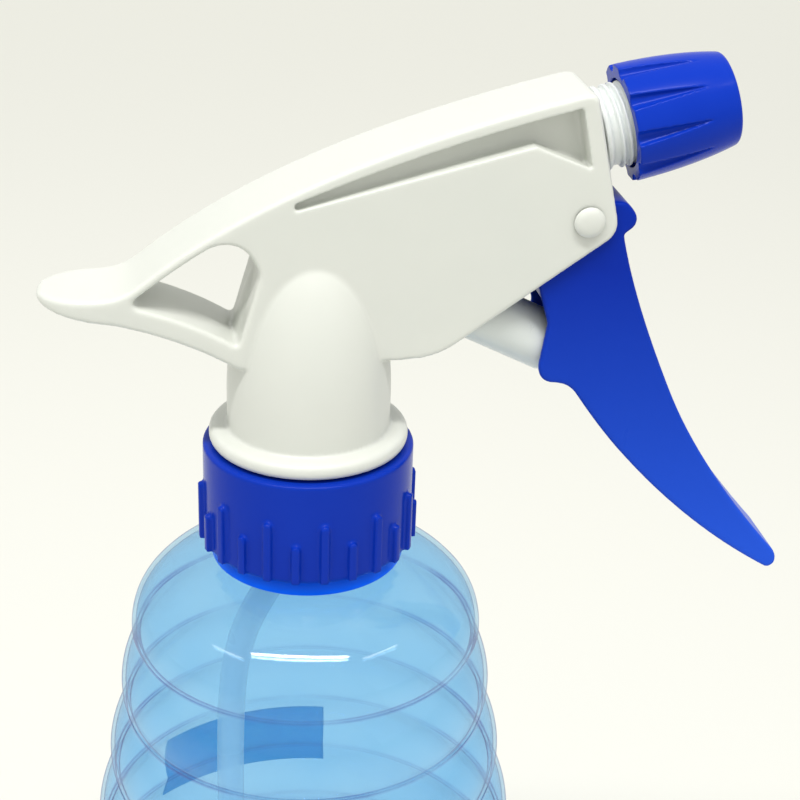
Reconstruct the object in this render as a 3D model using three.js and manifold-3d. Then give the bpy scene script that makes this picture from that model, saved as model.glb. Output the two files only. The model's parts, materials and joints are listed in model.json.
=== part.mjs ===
// Trigger spray bottle: a ribbed 500 ml PET bottle with a one-piece white pump head.
// Millimetres, +Z up. The origin is the centre of the bottle's base.
// +X points the way the nozzle sprays, and the head is symmetric about the XZ plane.
import * as THREE from 'three';
import { mergeVertices } from 'three/addons/utils/BufferGeometryUtils.js';
import Module from 'manifold-3d';

const wasm = await Module();
wasm.setup();

// ---------- driving dimensions ----------
const GAP = 0.3;                       // play between pieces that touch

const SEAT_HEIGHT = 156;               // underside of the head's flange above the base
const GROOVES = 9;                     // moulded round the bottle
const TIER_PITCH = 12.6;
const FIRST_GROOVE_BELOW_SEAT = 33.4;
const BODY_RADIUS = 38.5;
const SWELL = 13.2;                    // the bottle widens by most of this, along a half cosine
const SWELL_TIERS = 9;
const SWELL_START = 2.4;
const GROOVE_DEPTH = 0.75;
const BULGE = 0.7;                     // share of a tier, below its groove, over which it widens
const WALL = 0.6;

const NECK_RADIUS = 12.6;              // 28 mm neck finish
const NECK_BORE = 10.8;
const NECK_THREAD_RADIUS = 13.6;
const NECK_THREAD_PITCH = 4.23;        // six threads to the inch
const NECK_TOP_BELOW_SEAT = 5.6;
const NECK_FOOT_BELOW_SEAT = 19.9;

const COLLAR_RADIUS = 15.9;
const COLLAR_RIB_RADIUS = 16.75;
const COLLAR_HEIGHT = 19.2;
const COLLAR_BORE = 13.95;
const COLLAR_RIBS = 24;
const FIRST_RIB = THREE.MathUtils.degToRad(2.65);   // past +Y

const FLANGE_RADIUS = 14.95;
const COLUMN_RADIUS = 12.2;
const HEAD_WIDTH = 14;
const INNER_WIDTH = 12.2;              // between the two side plates
const POCKET_DEPTH = 3.5;
const NOZZLE_TILT = THREE.MathUtils.degToRad(13);
const PUMP_TILT = THREE.MathUtils.degToRad(-26);
const NOZZLE_FACE = [40.5, 47.0];      // where the nozzle's axis leaves the head's front face
const PIVOT = [38.8, 35.7];            // trigger pin
const PUMP_FOOT = [29.84, 17.3];       // point of the pump's axis nearest to the trigger pin

const PIN_RADIUS = 1.6;
const PIN_BORE = 1.9;
const TRIGGER_WIDTH = 11.6;
const TRIGGER_WALL = 1.1;
const PISTON_RADIUS = 4.5;
const PUMP_BORE = 4.75;
const PUMP_OUTSIDE = 6.4;
const PUMP_MOUTH = -9.3;               // along the pump's axis, from PUMP_FOOT
const PUMP_END = -25.2;

const NOZZLE_GAP = 4.2;                // head's front face to the nozzle cap's rim
const NOZZLE_LENGTH = 15.6;
const NOZZLE_PITCH = 1.1;
const NOZZLE_FLUTES = 10;
const STEM_THREAD_RADIUS = 6.1;
const STEM_ROOT = 5.55;
const STEM_PLUG_RADIUS = 2.4;
const OUTLET_CHAMBER = 2.1;
const OUTLET_BALL_RADIUS = 1.6;
const OUTLET_SEAT = -13;               // along the nozzle's axis, from the head's front face
const FEED_BORE = 1.2;

const INLET_BALL_RADIUS = 1.9;
const INLET_SEAT = 4.2;                // above the flange's underside
const TUBE_RADIUS = 2.2;
const TUBE_BORE = 1.5;

// ---------- colours ----------
const finish = (color, roughness, metalness = 0) =>
  new THREE.MeshStandardMaterial({ color, roughness, metalness });
const whitePlastic = finish(0xf1f3ec, 0.35);
const bluePlastic = finish(0x1746c4, 0.3);
const naturalPlastic = finish(0xdfe4e4, 0.4);
const bottlePlastic = finish(0x9ccdf0, 0.08);
const labelPaper = finish(0x245a9c, 0.6);
const steel = finish(0xc4c6c8, 0.25, 1);
const sealRubber = finish(0x2b2c2e, 0.7);
const gasketFoam = finish(0xe6e4dc, 0.85);

// ---------- solids ----------
// One closed mesh with shared corners, no slivers, and its faces pointing out.
function closed(geometry) {
  geometry.deleteAttribute('normal');
  geometry.deleteAttribute('uv');
  const merged = mergeVertices(geometry, 1e-4);
  const corner = merged.attributes.position;
  const source = merged.index.array;
  const faces = [];
  let volume = 0;
  const [a, b, c] = [new THREE.Vector3(), new THREE.Vector3(), new THREE.Vector3()];
  for (let i = 0; i < source.length; i += 3) {
    const [p, q, r] = [source[i], source[i + 1], source[i + 2]];
    if (p === q || q === r || r === p) continue;
    faces.push(p, q, r);
    a.fromBufferAttribute(corner, p);
    b.fromBufferAttribute(corner, q);
    c.fromBufferAttribute(corner, r);
    volume += a.dot(b.cross(c));
  }
  if (volume < 0) faces.reverse();
  merged.setIndex(faces);
  return merged;
}

function solid(geometry) {
  const mesh = closed(geometry);
  return new wasm.Manifold(new wasm.Mesh({
    numProp: 3,
    vertProperties: new Float32Array(mesh.attributes.position.array),
    triVerts: new Uint32Array(mesh.index.array),
  }));
}

function geometryOf(manifold) {
  const mesh = manifold.getMesh();
  const geometry = new THREE.BufferGeometry();
  geometry.setAttribute('position', new THREE.BufferAttribute(mesh.vertProperties, 3));
  geometry.setIndex(new THREE.BufferAttribute(mesh.triVerts, 1));
  return geometry;
}

const joined = (first, ...others) =>
  geometryOf(others.reduce((sum, other) => sum.add(solid(other)), solid(first)));
const cut = (first, ...others) =>
  geometryOf(others.reduce((rest, other) => rest.subtract(solid(other)), solid(first)));
const common = (first, second) => geometryOf(solid(first).intersect(solid(second)));

// A turned shape about Z from [radius, z] points or a path.
function turned(points, segments = 32) {
  const profile = points.map((point) => (point.isVector2 ? point : new THREE.Vector2(...point)));
  return new THREE.LatheGeometry(profile, segments).rotateX(Math.PI / 2);
}

// A round bar about Z, from one height to another.
function bar(radius, low, high, segments = 24) {
  return new THREE.CylinderGeometry(radius, radius, high - low, segments)
    .rotateX(Math.PI / 2)
    .translate(0, 0, (low + high) / 2);
}

// A flat shape drawn in X and Z, given a thickness along Y about its middle.
function plate(shape, width, middle = 0, curveSegments = 6) {
  return new THREE.ExtrudeGeometry(shape, { depth: width, bevelEnabled: false, curveSegments })
    .translate(0, 0, -width / 2 - middle)
    .rotateX(Math.PI / 2);
}

// A round bar across the head, centred on a point of the XZ plane.
function crossBar(radius, width, [x, z], segments = 20) {
  return new THREE.CylinderGeometry(radius, radius, width, segments).translate(x, 0, z);
}

function polygon(points) {
  return new THREE.Shape(points.map(([x, y]) => new THREE.Vector2(x, y)));
}

// A helical rib of trapezoid section round Z, fading out at both ends. Right-handed.
function helicalRib({ root, crest, rootWidth, crestWidth, pitch, turns, start, stepsPerTurn }) {
  const section = polygon([
    [root, -rootWidth / 2],
    [crest, -crestWidth / 2],
    [crest, crestWidth / 2],
    [root, rootWidth / 2],
  ]);
  const steps = Math.round(turns * stepsPerTurn);
  const rib = new THREE.ExtrudeGeometry(section, { depth: 1, steps, bevelEnabled: false });
  const corner = rib.attributes.position;
  const fade = 1 / stepsPerTurn / turns;
  for (let i = 0; i < corner.count; i += 1) {
    const along = corner.getZ(i);
    const angle = along * turns * 2 * Math.PI;
    const height = Math.min(1, (Math.min(along, 1 - along) + fade / 4) / (2 * fade));
    const radius = root + (corner.getX(i) - root) * height;
    const lift = start + pitch * turns * along;
    corner.setXYZ(i, radius * Math.cos(angle), radius * Math.sin(angle), corner.getY(i) + lift);
  }
  return rib;
}

class Helix extends THREE.Curve {
  constructor(radius, height, turns) {
    super();
    Object.assign(this, { radius, height, turns });
  }

  getPoint(t, target = new THREE.Vector3()) {
    const angle = t * this.turns * 2 * Math.PI;
    return target.set(
      this.radius * Math.cos(angle),
      this.radius * Math.sin(angle),
      this.height * t,
    );
  }
}

// A coil spring about Z from low to high, measured over its wire.
function coilSpring(coilRadius, wireRadius, low, high, turns) {
  const path = new Helix(coilRadius, high - low - 2 * wireRadius, turns);
  const section = new THREE.Shape().absarc(0, 0, wireRadius, 0, 2 * Math.PI);
  return new THREE.ExtrudeGeometry(section, {
    steps: turns * 10,
    extrudePath: path,
    curveSegments: 2,
  }).translate(0, 0, low + wireRadius);
}

function piece(name, geometry, material) {
  const mesh = new THREE.Mesh(closed(geometry), material);
  mesh.name = name;
  return mesh;
}

// ---------- frames inside the head ----------
// Each has its own +Z along its axis: out of the nozzle, and out of the pump.
function axisFrame([x, z], tilt) {
  const frame = new THREE.Group();
  frame.position.set(x, 0, z);
  frame.rotation.y = Math.PI / 2 - tilt;
  frame.updateMatrix();
  return frame;
}
const nozzleAxis = axisFrame(NOZZLE_FACE, NOZZLE_TILT);
const pumpAxis = axisFrame(PUMP_FOOT, PUMP_TILT);
const inNozzleFrame = (geometry) => geometry.applyMatrix4(nozzleAxis.matrix);
const inPumpFrame = (geometry) => geometry.applyMatrix4(pumpAxis.matrix);

// ---------- bottle ----------
function crestRadius(tier) {
  const along = Math.min(1, (tier + SWELL_START) / SWELL_TIERS);
  return BODY_RADIUS - SWELL * (1 + Math.cos(Math.PI * along)) / 2;
}

const grooveHeight = (tier) => SEAT_HEIGHT - FIRST_GROOVE_BELOW_SEAT - tier * TIER_PITCH;

// The wall's radius a share of the way from a groove down to the next: it bulges, then turns in.
function tierRadius(tier, share) {
  const groove = crestRadius(tier) - GROOVE_DEPTH;
  const crest = crestRadius(tier + 1);
  if (share <= BULGE) {
    return groove + (crest - groove) * Math.sin((share / BULGE) * Math.PI / 2);
  }
  const turn = Math.cos(((share - BULGE) / (1 - BULGE)) * Math.PI / 2);
  return crest - GROOVE_DEPTH * (1 - Math.max(0, turn) ** 0.6);
}

// The tiers from the heel up to the first groove, drawn inset by a wall thickness.
function tierProfile(inset) {
  const points = [];
  for (let tier = GROOVES - 1; tier >= 0; tier -= 1) {
    const shares = tier === GROOVES - 1 ? [BULGE, 0.3, 0] : [0.93, BULGE, 0.3, 0];
    for (const share of shares) {
      points.push([tierRadius(tier, share) - inset, grooveHeight(tier) - share * TIER_PITCH]);
    }
  }
  return points;
}

function bottle() {
  const rim = SEAT_HEIGHT - NECK_TOP_BELOW_SEAT;
  const foot = SEAT_HEIGHT - NECK_FOOT_BELOW_SEAT;
  const shoulder = grooveHeight(0) + 3.5;
  const crest = crestRadius(0);
  const heel = BODY_RADIUS - 0.4;
  const outside = [
    [0, 0.9], [24, 0.9], [27, 0], [32.5, 0], [heel - 1.4, 1.9], [heel, 5.5], [BODY_RADIUS, 9],
    ...tierProfile(0),
    [crest, shoulder],
    [crest - 2.0, foot - 6.1],
    [crest - 6.4, foot - 2.5],
    [15.2, foot - 0.2],
    [NECK_RADIUS + 0.5, foot + 0.6],
    [NECK_RADIUS, foot + 1.4],
    [NECK_RADIUS, rim],
  ];
  const inside = [
    [NECK_BORE, rim],
    [NECK_BORE, foot + 0.9],
    [NECK_BORE + 0.8, foot],
    [14.6, foot - 1.1],
    [crest - 6.9, foot - 3.3],
    [crest - 2.7, foot - 6.6],
    [crest - WALL, shoulder],
    ...tierProfile(WALL).reverse(),
    [BODY_RADIUS - WALL, 9],
    [heel - WALL, 6], [heel - 1.9, 2.6], [32, 0.8], [27, 0.8], [23.7, 1.8], [0, 1.8],
  ];
  const thread = helicalRib({
    root: NECK_RADIUS - 0.5,
    crest: NECK_THREAD_RADIUS,
    rootWidth: 2.1,
    crestWidth: 0.9,
    pitch: NECK_THREAD_PITCH,
    turns: 1.5,
    start: rim - 9.6,
    stepsPerTurn: 20,
  });
  return piece('bottle', joined(turned([...outside, ...inside], 24), thread), bottlePlastic);
}

// A plain sticker on the back. It spans one groove, and lies on the tier above it.
function rearLabel() {
  const thickness = 0.35;
  const low = grooveHeight(4) - 5;
  const height = 13.6;
  const lowRadius = crestRadius(4) + GAP + 0.9;
  const highRadius = crestRadius(4) + GAP - 0.6;
  const sector = new THREE.Shape();
  const [from, to] = [THREE.MathUtils.degToRad(78), THREE.MathUtils.degToRad(129)];
  sector.absarc(0, 0, 1 + thickness / lowRadius, from, to, false);
  sector.absarc(0, 0, 1, to, from, true);
  const label = new THREE.ExtrudeGeometry(sector, {
    depth: height,
    bevelEnabled: false,
    curveSegments: 10,
  });
  const corner = label.attributes.position;
  for (let i = 0; i < corner.count; i += 1) {
    const up = corner.getZ(i);
    const radius = THREE.MathUtils.lerp(lowRadius, highRadius, up / height);
    corner.setXYZ(i, corner.getX(i) * radius, corner.getY(i) * radius, up + low);
  }
  return piece('rear_label', label, labelPaper);
}

// ---------- screw collar and what it clamps ----------
function collar() {
  const bottom = -COLLAR_HEIGHT;
  const top = -GAP;
  const lip = bottom + 3;
  const shell = turned([
    [6.9, top], [COLLAR_RADIUS - 0.5, top], [COLLAR_RADIUS, top - 0.5], [COLLAR_RADIUS, lip],
    [COLLAR_RADIUS - 1, lip - 0.6], [COLLAR_RADIUS - 1.1, bottom], [COLLAR_BORE, bottom],
    [COLLAR_BORE, top - 1.6], [6.9, top - 1.6], [6.9, top],
  ], 32);
  const thread = helicalRib({
    root: COLLAR_BORE + 0.5,
    crest: 13.0,
    rootWidth: 2.0,
    crestWidth: 0.9,
    pitch: NECK_THREAD_PITCH,
    turns: 1.25,
    start: -NECK_TOP_BELOW_SEAT - 9.6 - NECK_THREAD_PITCH / 2,
    stepsPerTurn: 20,
  });
  const ribs = [];
  for (let k = 0; k < COLLAR_RIBS; k += 1) {
    const height = k % 2 === 0 ? 9.7 : 6.3;
    const outline = new THREE.Shape();
    outline.moveTo(-0.65, lip - 0.1);
    outline.lineTo(0.65, lip - 0.1);
    outline.lineTo(0.65, lip + height - 0.6);
    outline.quadraticCurveTo(0.65, lip + height, 0, lip + height);
    outline.quadraticCurveTo(-0.65, lip + height, -0.65, lip + height - 0.6);
    const depth = COLLAR_RIB_RADIUS - COLLAR_RADIUS + 0.6;
    const rib = plate(outline, depth, COLLAR_RIB_RADIUS - depth / 2, 2);
    ribs.push(rib.rotateZ(FIRST_RIB + (k * 2 * Math.PI) / COLLAR_RIBS));
  }
  return piece('collar', joined(shell, thread, ...ribs), bluePlastic);
}

function neckGasket() {
  const top = -3.8 - GAP;
  const bottom = -NECK_TOP_BELOW_SEAT + GAP;
  const ring = turned([[8.6, bottom], [12.7, bottom], [12.7, top], [8.6, top], [8.6, bottom]]);
  return piece('neck_gasket', ring, gasketFoam);
}

// Pressed into the column from below: valve seat, clamped flange and socket for the dip tube.
function tubeHolder() {
  const seatFlare = INLET_SEAT + 1.3;
  const body = turned([
    [1.0, -6.2], [TUBE_BORE, -6.2], [TUBE_BORE, -6.6], [TUBE_RADIUS + GAP, -6.6],
    [TUBE_RADIUS + GAP, -14.5], [3.5, -14.5], [3.9, -13.9], [3.9, -3.8], [12.7, -3.8],
    [12.7, -2.2], [6.2, -2.2], [6.2, 8], [5.5, 8], [5.5, 9.1], [6.2, 9.1], [6.2, 12],
    [2.5, 12], [2.5, seatFlare], [1.0, INLET_SEAT], [1.0, -6.2],
  ], 24);
  return piece('tube_holder', body, naturalPlastic);
}

// A rubber ring about Z, given by the circle at the middle of its section.
function ring(radius, sectionRadius, height) {
  const section = new THREE.Path().absarc(radius, height, sectionRadius, 0, 2 * Math.PI);
  return turned(section.getPoints(3), 18);
}

function holderRing() {
  return piece('holder_ring', ring(5.98, 0.38, 8.55), sealRubber);
}

function inletBall() {
  const seatRadius = 1.75;
  const rest = INLET_SEAT + 1.3 + Math.sqrt(INLET_BALL_RADIUS ** 2 - seatRadius ** 2) + GAP / 2;
  const ball = new THREE.SphereGeometry(INLET_BALL_RADIUS, 12, 8);
  return piece('inlet_ball', ball.translate(0, 0, rest), steel);
}

function dipTube() {
  const route = new THREE.CatmullRomCurve3([
    [0, 0, -6.9], [0, 0, -14], [-2, 0, -20], [-6.6, 0, -27], [-10.3, 0.5, -36], [-12, 1, -49],
    [-12.3, 1, -75], [-12, 0.5, -105], [-10, 0, -130], [-7.5, 0, -149],
  ].map((point) => new THREE.Vector3(...point)));
  const ring = new THREE.Shape().absarc(0, 0, TUBE_RADIUS, 0, 2 * Math.PI);
  ring.holes.push(new THREE.Path().absarc(0, 0, TUBE_BORE, 0, 2 * Math.PI, true));
  const tube = new THREE.ExtrudeGeometry(ring, {
    steps: 20,
    extrudePath: route,
    curveSegments: 5,
  });
  return piece('dip_tube', tube, naturalPlastic);
}

// ---------- one-piece head ----------
function sideOutline() {
  const outline = new THREE.Shape();
  outline.moveTo(-24.4, 27.6);
  outline.quadraticCurveTo(-4, 43.9, 36.4, 53.7);            // crowned back
  outline.quadraticCurveTo(38.6, 54.3, 39.0, 53.2);
  outline.lineTo(43.1, 35.9);                                // front face, square to the nozzle
  outline.quadraticCurveTo(43.7, 33.5, 41.2, 32.0);
  outline.lineTo(20.5, 17.2);                                // sloping underside
  outline.quadraticCurveTo(17.5, 15.0, 13.0, 15.0);
  outline.lineTo(0, 15.0);
  outline.lineTo(-10.6, 14.1);
  outline.quadraticCurveTo(-18.5, 19.2, -28, 21.6);          // lower bar of the rear loop
  outline.quadraticCurveTo(-33.5, 22.4, -37.6, 23.5);
  outline.quadraticCurveTo(-40, 24.4, -38.2, 25.3);          // tip of the thumb rest
  outline.lineTo(-29.6, 25.5);
  outline.quadraticCurveTo(-27, 25.6, -24.4, 27.6);
  return outline;
}

function rearLoop() {
  const loop = new THREE.Shape();
  loop.moveTo(-25.5, 25.2);
  loop.quadraticCurveTo(-19.5, 29.9, -14.6, 32.8);
  loop.quadraticCurveTo(-9.6, 34.6, -7.8, 28.6);
  loop.lineTo(-10.9, 17.9);
  loop.quadraticCurveTo(-17.5, 22.2, -25.3, 24.3);
  return loop;
}

// Seen from above: the thumb rest has a round end.
function planOutline() {
  const half = HEAD_WIDTH / 2;
  const plan = new THREE.Shape();
  plan.moveTo(50, -half);
  plan.lineTo(50, half);
  plan.lineTo(-31, half);
  plan.bezierCurveTo(-36, half, -39, 4.5, -39, 0);
  plan.bezierCurveTo(-39, -4.5, -36, -half, -31, -half);
  return plan;
}

function pocket() {
  const window = new THREE.Shape();
  window.moveTo(-2.3, 38.7);
  window.quadraticCurveTo(17, 47.0, 36.7, 52.0);
  window.lineTo(38.7, 43.3);
  window.lineTo(30.4, 46.7);
  return window;
}

// The space between the side plates for the trigger and the pump, open below and in front.
function mechanismSpace() {
  const roof = (x) => 41.0 + Math.tan(NOZZLE_TILT) * (x - 43);
  return polygon([[13.6, 0], [60, 0], [60, roof(60)], [13.6, roof(13.6)]]);
}

// The column's domed shell: a half ellipse of revolution on a straight foot.
function column() {
  const path = new THREE.Path();
  path.moveTo(0, 0);
  path.lineTo(FLANGE_RADIUS - 0.3, 0);
  path.lineTo(FLANGE_RADIUS, 0.4);
  path.lineTo(FLANGE_RADIUS, 1.6);
  path.lineTo(FLANGE_RADIUS - 0.9, 2.4);
  path.lineTo(COLUMN_RADIUS, 2.6);
  path.absellipse(0, 8, COLUMN_RADIUS, 26, 0, Math.PI / 2, false);
  return turned(path.getPoints(6), 36);
}

function housing() {
  const plan = new THREE.ExtrudeGeometry(planOutline(), { depth: 70, bevelEnabled: false });
  const body = common(plate(sideOutline(), HEAD_WIDTH), plan);
  const loop = plate(rearLoop(), HEAD_WIDTH + 2);
  const pocketMiddle = HEAD_WIDTH / 2 - POCKET_DEPTH / 2 + 0.5;
  const pockets = [-1, 1].map((way) => plate(pocket(), POCKET_DEPTH + 1, way * pocketMiddle));
  const space = plate(mechanismSpace(), INNER_WIDTH);
  const shell = joined(cut(body, loop, ...pockets, space), column());
  const pump = inPumpFrame(bar(PUMP_OUTSIDE, -20, PUMP_MOUTH, 32));
  const feed = -NOZZLE_FACE[0] / Math.cos(NOZZLE_TILT);
  return piece('housing', cut(
    joined(shell, pump),
    inPumpFrame(bar(PUMP_BORE, PUMP_END, 0, 28)),
    bar(6.5, -1, 13, 32),
    bar(FEED_BORE, 12, 37, 12),
    inNozzleFrame(bar(FEED_BORE, feed, OUTLET_SEAT + 1, 12)),
    inNozzleFrame(bar(OUTLET_CHAMBER, OUTLET_SEAT, -5, 20)),
    inNozzleFrame(bar(STEM_PLUG_RADIUS + GAP, -6, 1, 24)),
    crossBar(PIN_BORE, HEAD_WIDTH + 2, PIVOT),
    turned([[7.9, -1], [10.9, -1], [10.9, 12.5], [7.9, 12.5], [7.9, -1]], 48),
    plate(polygon([[0, 27.2], [9, 27.2], [9, 29.2], [0, 29.2]]), 2),
  ), whitePlastic);
}

function pivotPin() {
  const end = HEAD_WIDTH / 2 + GAP;
  const pin = turned([
    [0, -end - 1.1], [1.3, -end - 0.95], [2.25, -end - 0.3], [2.25, -end], [PIN_RADIUS, -end],
    [PIN_RADIUS, end], [2.25, end], [2.25, end + 0.3], [1.3, end + 0.95], [0, end + 1.1],
  ], 20);
  return piece('pivot_pin', pin.rotateX(Math.PI / 2).translate(PIVOT[0], 0, PIVOT[1]), whitePlastic);
}

// ---------- trigger ----------
function triggerOutline() {
  const outline = new THREE.Shape();
  outline.moveTo(44.6, 33.2);
  outline.quadraticCurveTo(47.2, 23, 54.8, 6.6);             // front, where the fingers pull
  outline.quadraticCurveTo(61.5, -5.6, 74.6, -21.2);
  outline.quadraticCurveTo(76, -23.6, 73.8, -24.3);          // tip
  outline.quadraticCurveTo(59.5, -15.4, 46.6, -1.3);
  outline.quadraticCurveTo(43, 3.2, 39.4, 8.2);
  outline.quadraticCurveTo(38.2, 9.7, 36.4, 9.9);
  outline.quadraticCurveTo(33.4, 9.9, 33.5, 12.9);           // heel behind the piston
  outline.lineTo(34.4, 19.4);
  outline.lineTo(32.6, 25.4);
  outline.lineTo(34.8, 35.7);
  outline.absarc(38.4, 35.7, 3.6, Math.PI, Math.PI / 4, true);
  outline.lineTo(44.6, 37.9);
  outline.quadraticCurveTo(48.2, 34.9, 44.6, 33.2);          // stop that rests under the front edge
  return outline;
}

// The channel inside the trigger, open to the rear so that the piston can enter.
function triggerChannel() {
  const channel = new THREE.Shape();
  channel.moveTo(43.2, 28.5);
  channel.quadraticCurveTo(45.6, 20, 52.6, 5.4);
  channel.quadraticCurveTo(59.2, -6.6, 68, -17);
  channel.lineTo(60, -30);
  channel.lineTo(20, 0);
  channel.lineTo(20, 22.4);
  channel.lineTo(36.2, 23.2);
  channel.lineTo(36.2, 28.5);
  return channel;
}

function trigger() {
  const channelWidth = TRIGGER_WIDTH - 2 * TRIGGER_WALL;
  const shell = cut(plate(triggerOutline(), TRIGGER_WIDTH), plate(triggerChannel(), channelWidth));
  const pusher = joined(
    inPumpFrame(bar(1.6, -5, 5, 16).rotateX(Math.PI / 2).translate(0, 0, 10)),
    inPumpFrame(new THREE.BoxGeometry(3.2, 10, 8).translate(0, 0, 14)),
  );
  const pinHole = crossBar(PIN_BORE, TRIGGER_WIDTH + 2, PIVOT);
  return piece('trigger', cut(joined(shell, pusher), pinHole), bluePlastic);
}

// ---------- pump, in the pump's own frame ----------
function piston() {
  const cup = turned([
    [0, -10.5], [2.9, -10.5], [2.9, -14], [4.1, -14], [PISTON_RADIUS, -13.6],
    [PISTON_RADIUS, -12.8], [3.4, -12.8], [3.4, -11.4], [PISTON_RADIUS, -11.4],
    [PISTON_RADIUS, 6.6], [4.0, 7.6], [3.0, 8], [0, 8],
  ], 24);
  return piece('piston', cup, naturalPlastic);
}

function pistonRing() {
  return piece('piston_ring', ring(4.05, 0.55, -12.1), sealRubber);
}

function pistonSpring() {
  return piece('piston_spring', coilSpring(2.3, 0.35, PUMP_END + GAP, -10.5 - GAP, 6), steel);
}

// ---------- outlet valve and nozzle, in the nozzle's own frame ----------
function outletBall() {
  const seated = Math.sqrt(OUTLET_BALL_RADIUS ** 2 - FEED_BORE ** 2);
  const ball = new THREE.SphereGeometry(OUTLET_BALL_RADIUS, 12, 8);
  return piece('outlet_ball', ball.translate(0, 0, OUTLET_SEAT + seated + GAP / 2), steel);
}

function outletSpring() {
  const ballFront = OUTLET_SEAT + 2 * OUTLET_BALL_RADIUS;
  return piece('outlet_spring', coilSpring(1.2, 0.2, ballFront + GAP / 2, -1.8, 5), steel);
}

function nozzleStem() {
  const body = turned([
    [1.0, -1.5], [1.6, -1.5], [1.6, -4.6], [STEM_PLUG_RADIUS, -4.6], [STEM_PLUG_RADIUS, GAP],
    [STEM_THREAD_RADIUS, GAP], [STEM_THREAD_RADIUS, 1.0], [STEM_ROOT, 1.3], [STEM_ROOT, 9.4],
    [5.1, 9.9], [3.2, 9.9], [3.2, 2.4], [1.0, 2.4], [1.0, -1.5],
  ], 20);
  const thread = helicalRib({
    root: STEM_ROOT - 0.3,
    crest: STEM_THREAD_RADIUS,
    rootWidth: 0.62,
    crestWidth: 0.22,
    pitch: NOZZLE_PITCH,
    turns: 6.5,
    start: 1.75,
    stepsPerTurn: 12,
  });
  return piece('nozzle_stem', joined(body, thread), naturalPlastic);
}

// Swirl core: sends the liquid round before it reaches the orifice.
function swirlCore() {
  const core = turned([
    [0, 2.7], [2.9, 2.7], [2.9, 9.4], [2.0, 10], [2.0, 12.6], [1.1, 13.4], [0, 13.4],
  ], 20);
  const slot = new THREE.BoxGeometry(1.2, 7, 9).translate(2.9, 0, 6.4);
  return piece('swirl_core', cut(core, slot, slot.clone().rotateZ(Math.PI)), naturalPlastic);
}

function nozzleSeal() {
  return piece('nozzle_seal', ring(2.9, 0.45, 14.6), sealRubber);
}

function nozzleCap() {
  const rim = NOZZLE_GAP;
  const tip = NOZZLE_GAP + NOZZLE_LENGTH;
  const shell = turned([
    [6.45, rim], [8.5, rim], [8.35, rim + 3], [7.9, rim + 8], [7.2, rim + 13],
    [6.7, tip - 0.7], [5.9, tip], [1.6, tip], [0.6, tip - 1.2], [0.6, 16.2], [3.65, 16.2],
    [3.65, 12.6], [6.45, 12.6], [6.45, rim],
  ], 24);
  const thread = helicalRib({
    root: 6.65,
    crest: 5.8,
    rootWidth: 0.62,
    crestWidth: 0.22,
    pitch: NOZZLE_PITCH,
    turns: 2.5,
    start: 1.75 + 3.5 * NOZZLE_PITCH,
    stepsPerTurn: 12,
  });
  const fluteShape = polygon([[-1.15, 0], [1.15, 0], [0, 10.6]]);
  const flutes = [];
  for (let k = 0; k < NOZZLE_FLUTES; k += 1) {
    const flute = plate(fluteShape, 2, 0, 1)
      .rotateX(THREE.MathUtils.degToRad(-9))
      .translate(0, -8.9, rim - 0.1);
    flutes.push(flute.rotateZ((k * 2 * Math.PI) / NOZZLE_FLUTES));
  }
  return piece('nozzle_cap', joined(cut(shell, ...flutes), thread), bluePlastic);
}

// ---------- assembly ----------
nozzleAxis.add(
  outletBall(), outletSpring(), nozzleStem(), swirlCore(), nozzleSeal(), nozzleCap(),
);
pumpAxis.add(piston(), pistonRing(), pistonSpring());

const head = new THREE.Group();
head.position.z = SEAT_HEIGHT;
head.add(
  collar(), neckGasket(), tubeHolder(), holderRing(), inletBall(), dipTube(), housing(),
  pivotPin(), trigger(), nozzleAxis, pumpAxis,
);

const group = new THREE.Group();
group.add(bottle(), rearLabel(), head);
export default group;
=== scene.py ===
"""The looks of a trigger spray bottle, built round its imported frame.

Each piece is drawn in millimetres in the frame of its own axis, and placed in metres.
"""

import json
import math

import bpy
from mathutils import Matrix, Vector


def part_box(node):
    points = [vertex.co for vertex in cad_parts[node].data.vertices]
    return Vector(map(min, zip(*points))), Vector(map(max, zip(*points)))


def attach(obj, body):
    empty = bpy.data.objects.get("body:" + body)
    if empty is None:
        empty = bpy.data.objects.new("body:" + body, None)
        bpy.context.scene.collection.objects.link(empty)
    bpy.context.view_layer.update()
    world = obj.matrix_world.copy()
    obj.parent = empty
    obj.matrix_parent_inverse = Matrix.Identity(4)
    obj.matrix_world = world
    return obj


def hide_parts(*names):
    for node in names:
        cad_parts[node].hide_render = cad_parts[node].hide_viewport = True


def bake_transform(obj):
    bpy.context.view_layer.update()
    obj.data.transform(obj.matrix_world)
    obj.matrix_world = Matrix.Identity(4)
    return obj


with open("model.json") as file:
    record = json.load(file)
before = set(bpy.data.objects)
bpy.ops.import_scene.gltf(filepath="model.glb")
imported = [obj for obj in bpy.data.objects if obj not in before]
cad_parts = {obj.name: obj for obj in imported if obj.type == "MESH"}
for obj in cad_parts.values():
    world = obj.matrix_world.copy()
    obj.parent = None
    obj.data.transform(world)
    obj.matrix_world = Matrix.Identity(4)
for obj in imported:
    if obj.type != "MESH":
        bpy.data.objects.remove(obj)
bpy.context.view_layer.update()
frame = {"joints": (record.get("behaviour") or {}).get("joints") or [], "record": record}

# ---------- driving sizes, in millimetres ----------
# The seat is the underside of the head's flange. A height named BELOW_SEAT is measured down from it.
MM = 0.001
GAP = 0.3

GROOVES = 9
TIER_PITCH = 12.6
FIRST_GROOVE_BELOW_SEAT = 33.4
BODY_RADIUS = 38.5
SWELL = 13.2
SWELL_TIERS = 9
SWELL_START = 2.4
GROOVE_DEPTH = 0.75
BULGE = 0.7
WALL = 0.6
STICKER_GAP = 0.12
STICKER_THICKNESS = 0.18
STICKER_ANGLES = (math.radians(78), math.radians(129))

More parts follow.
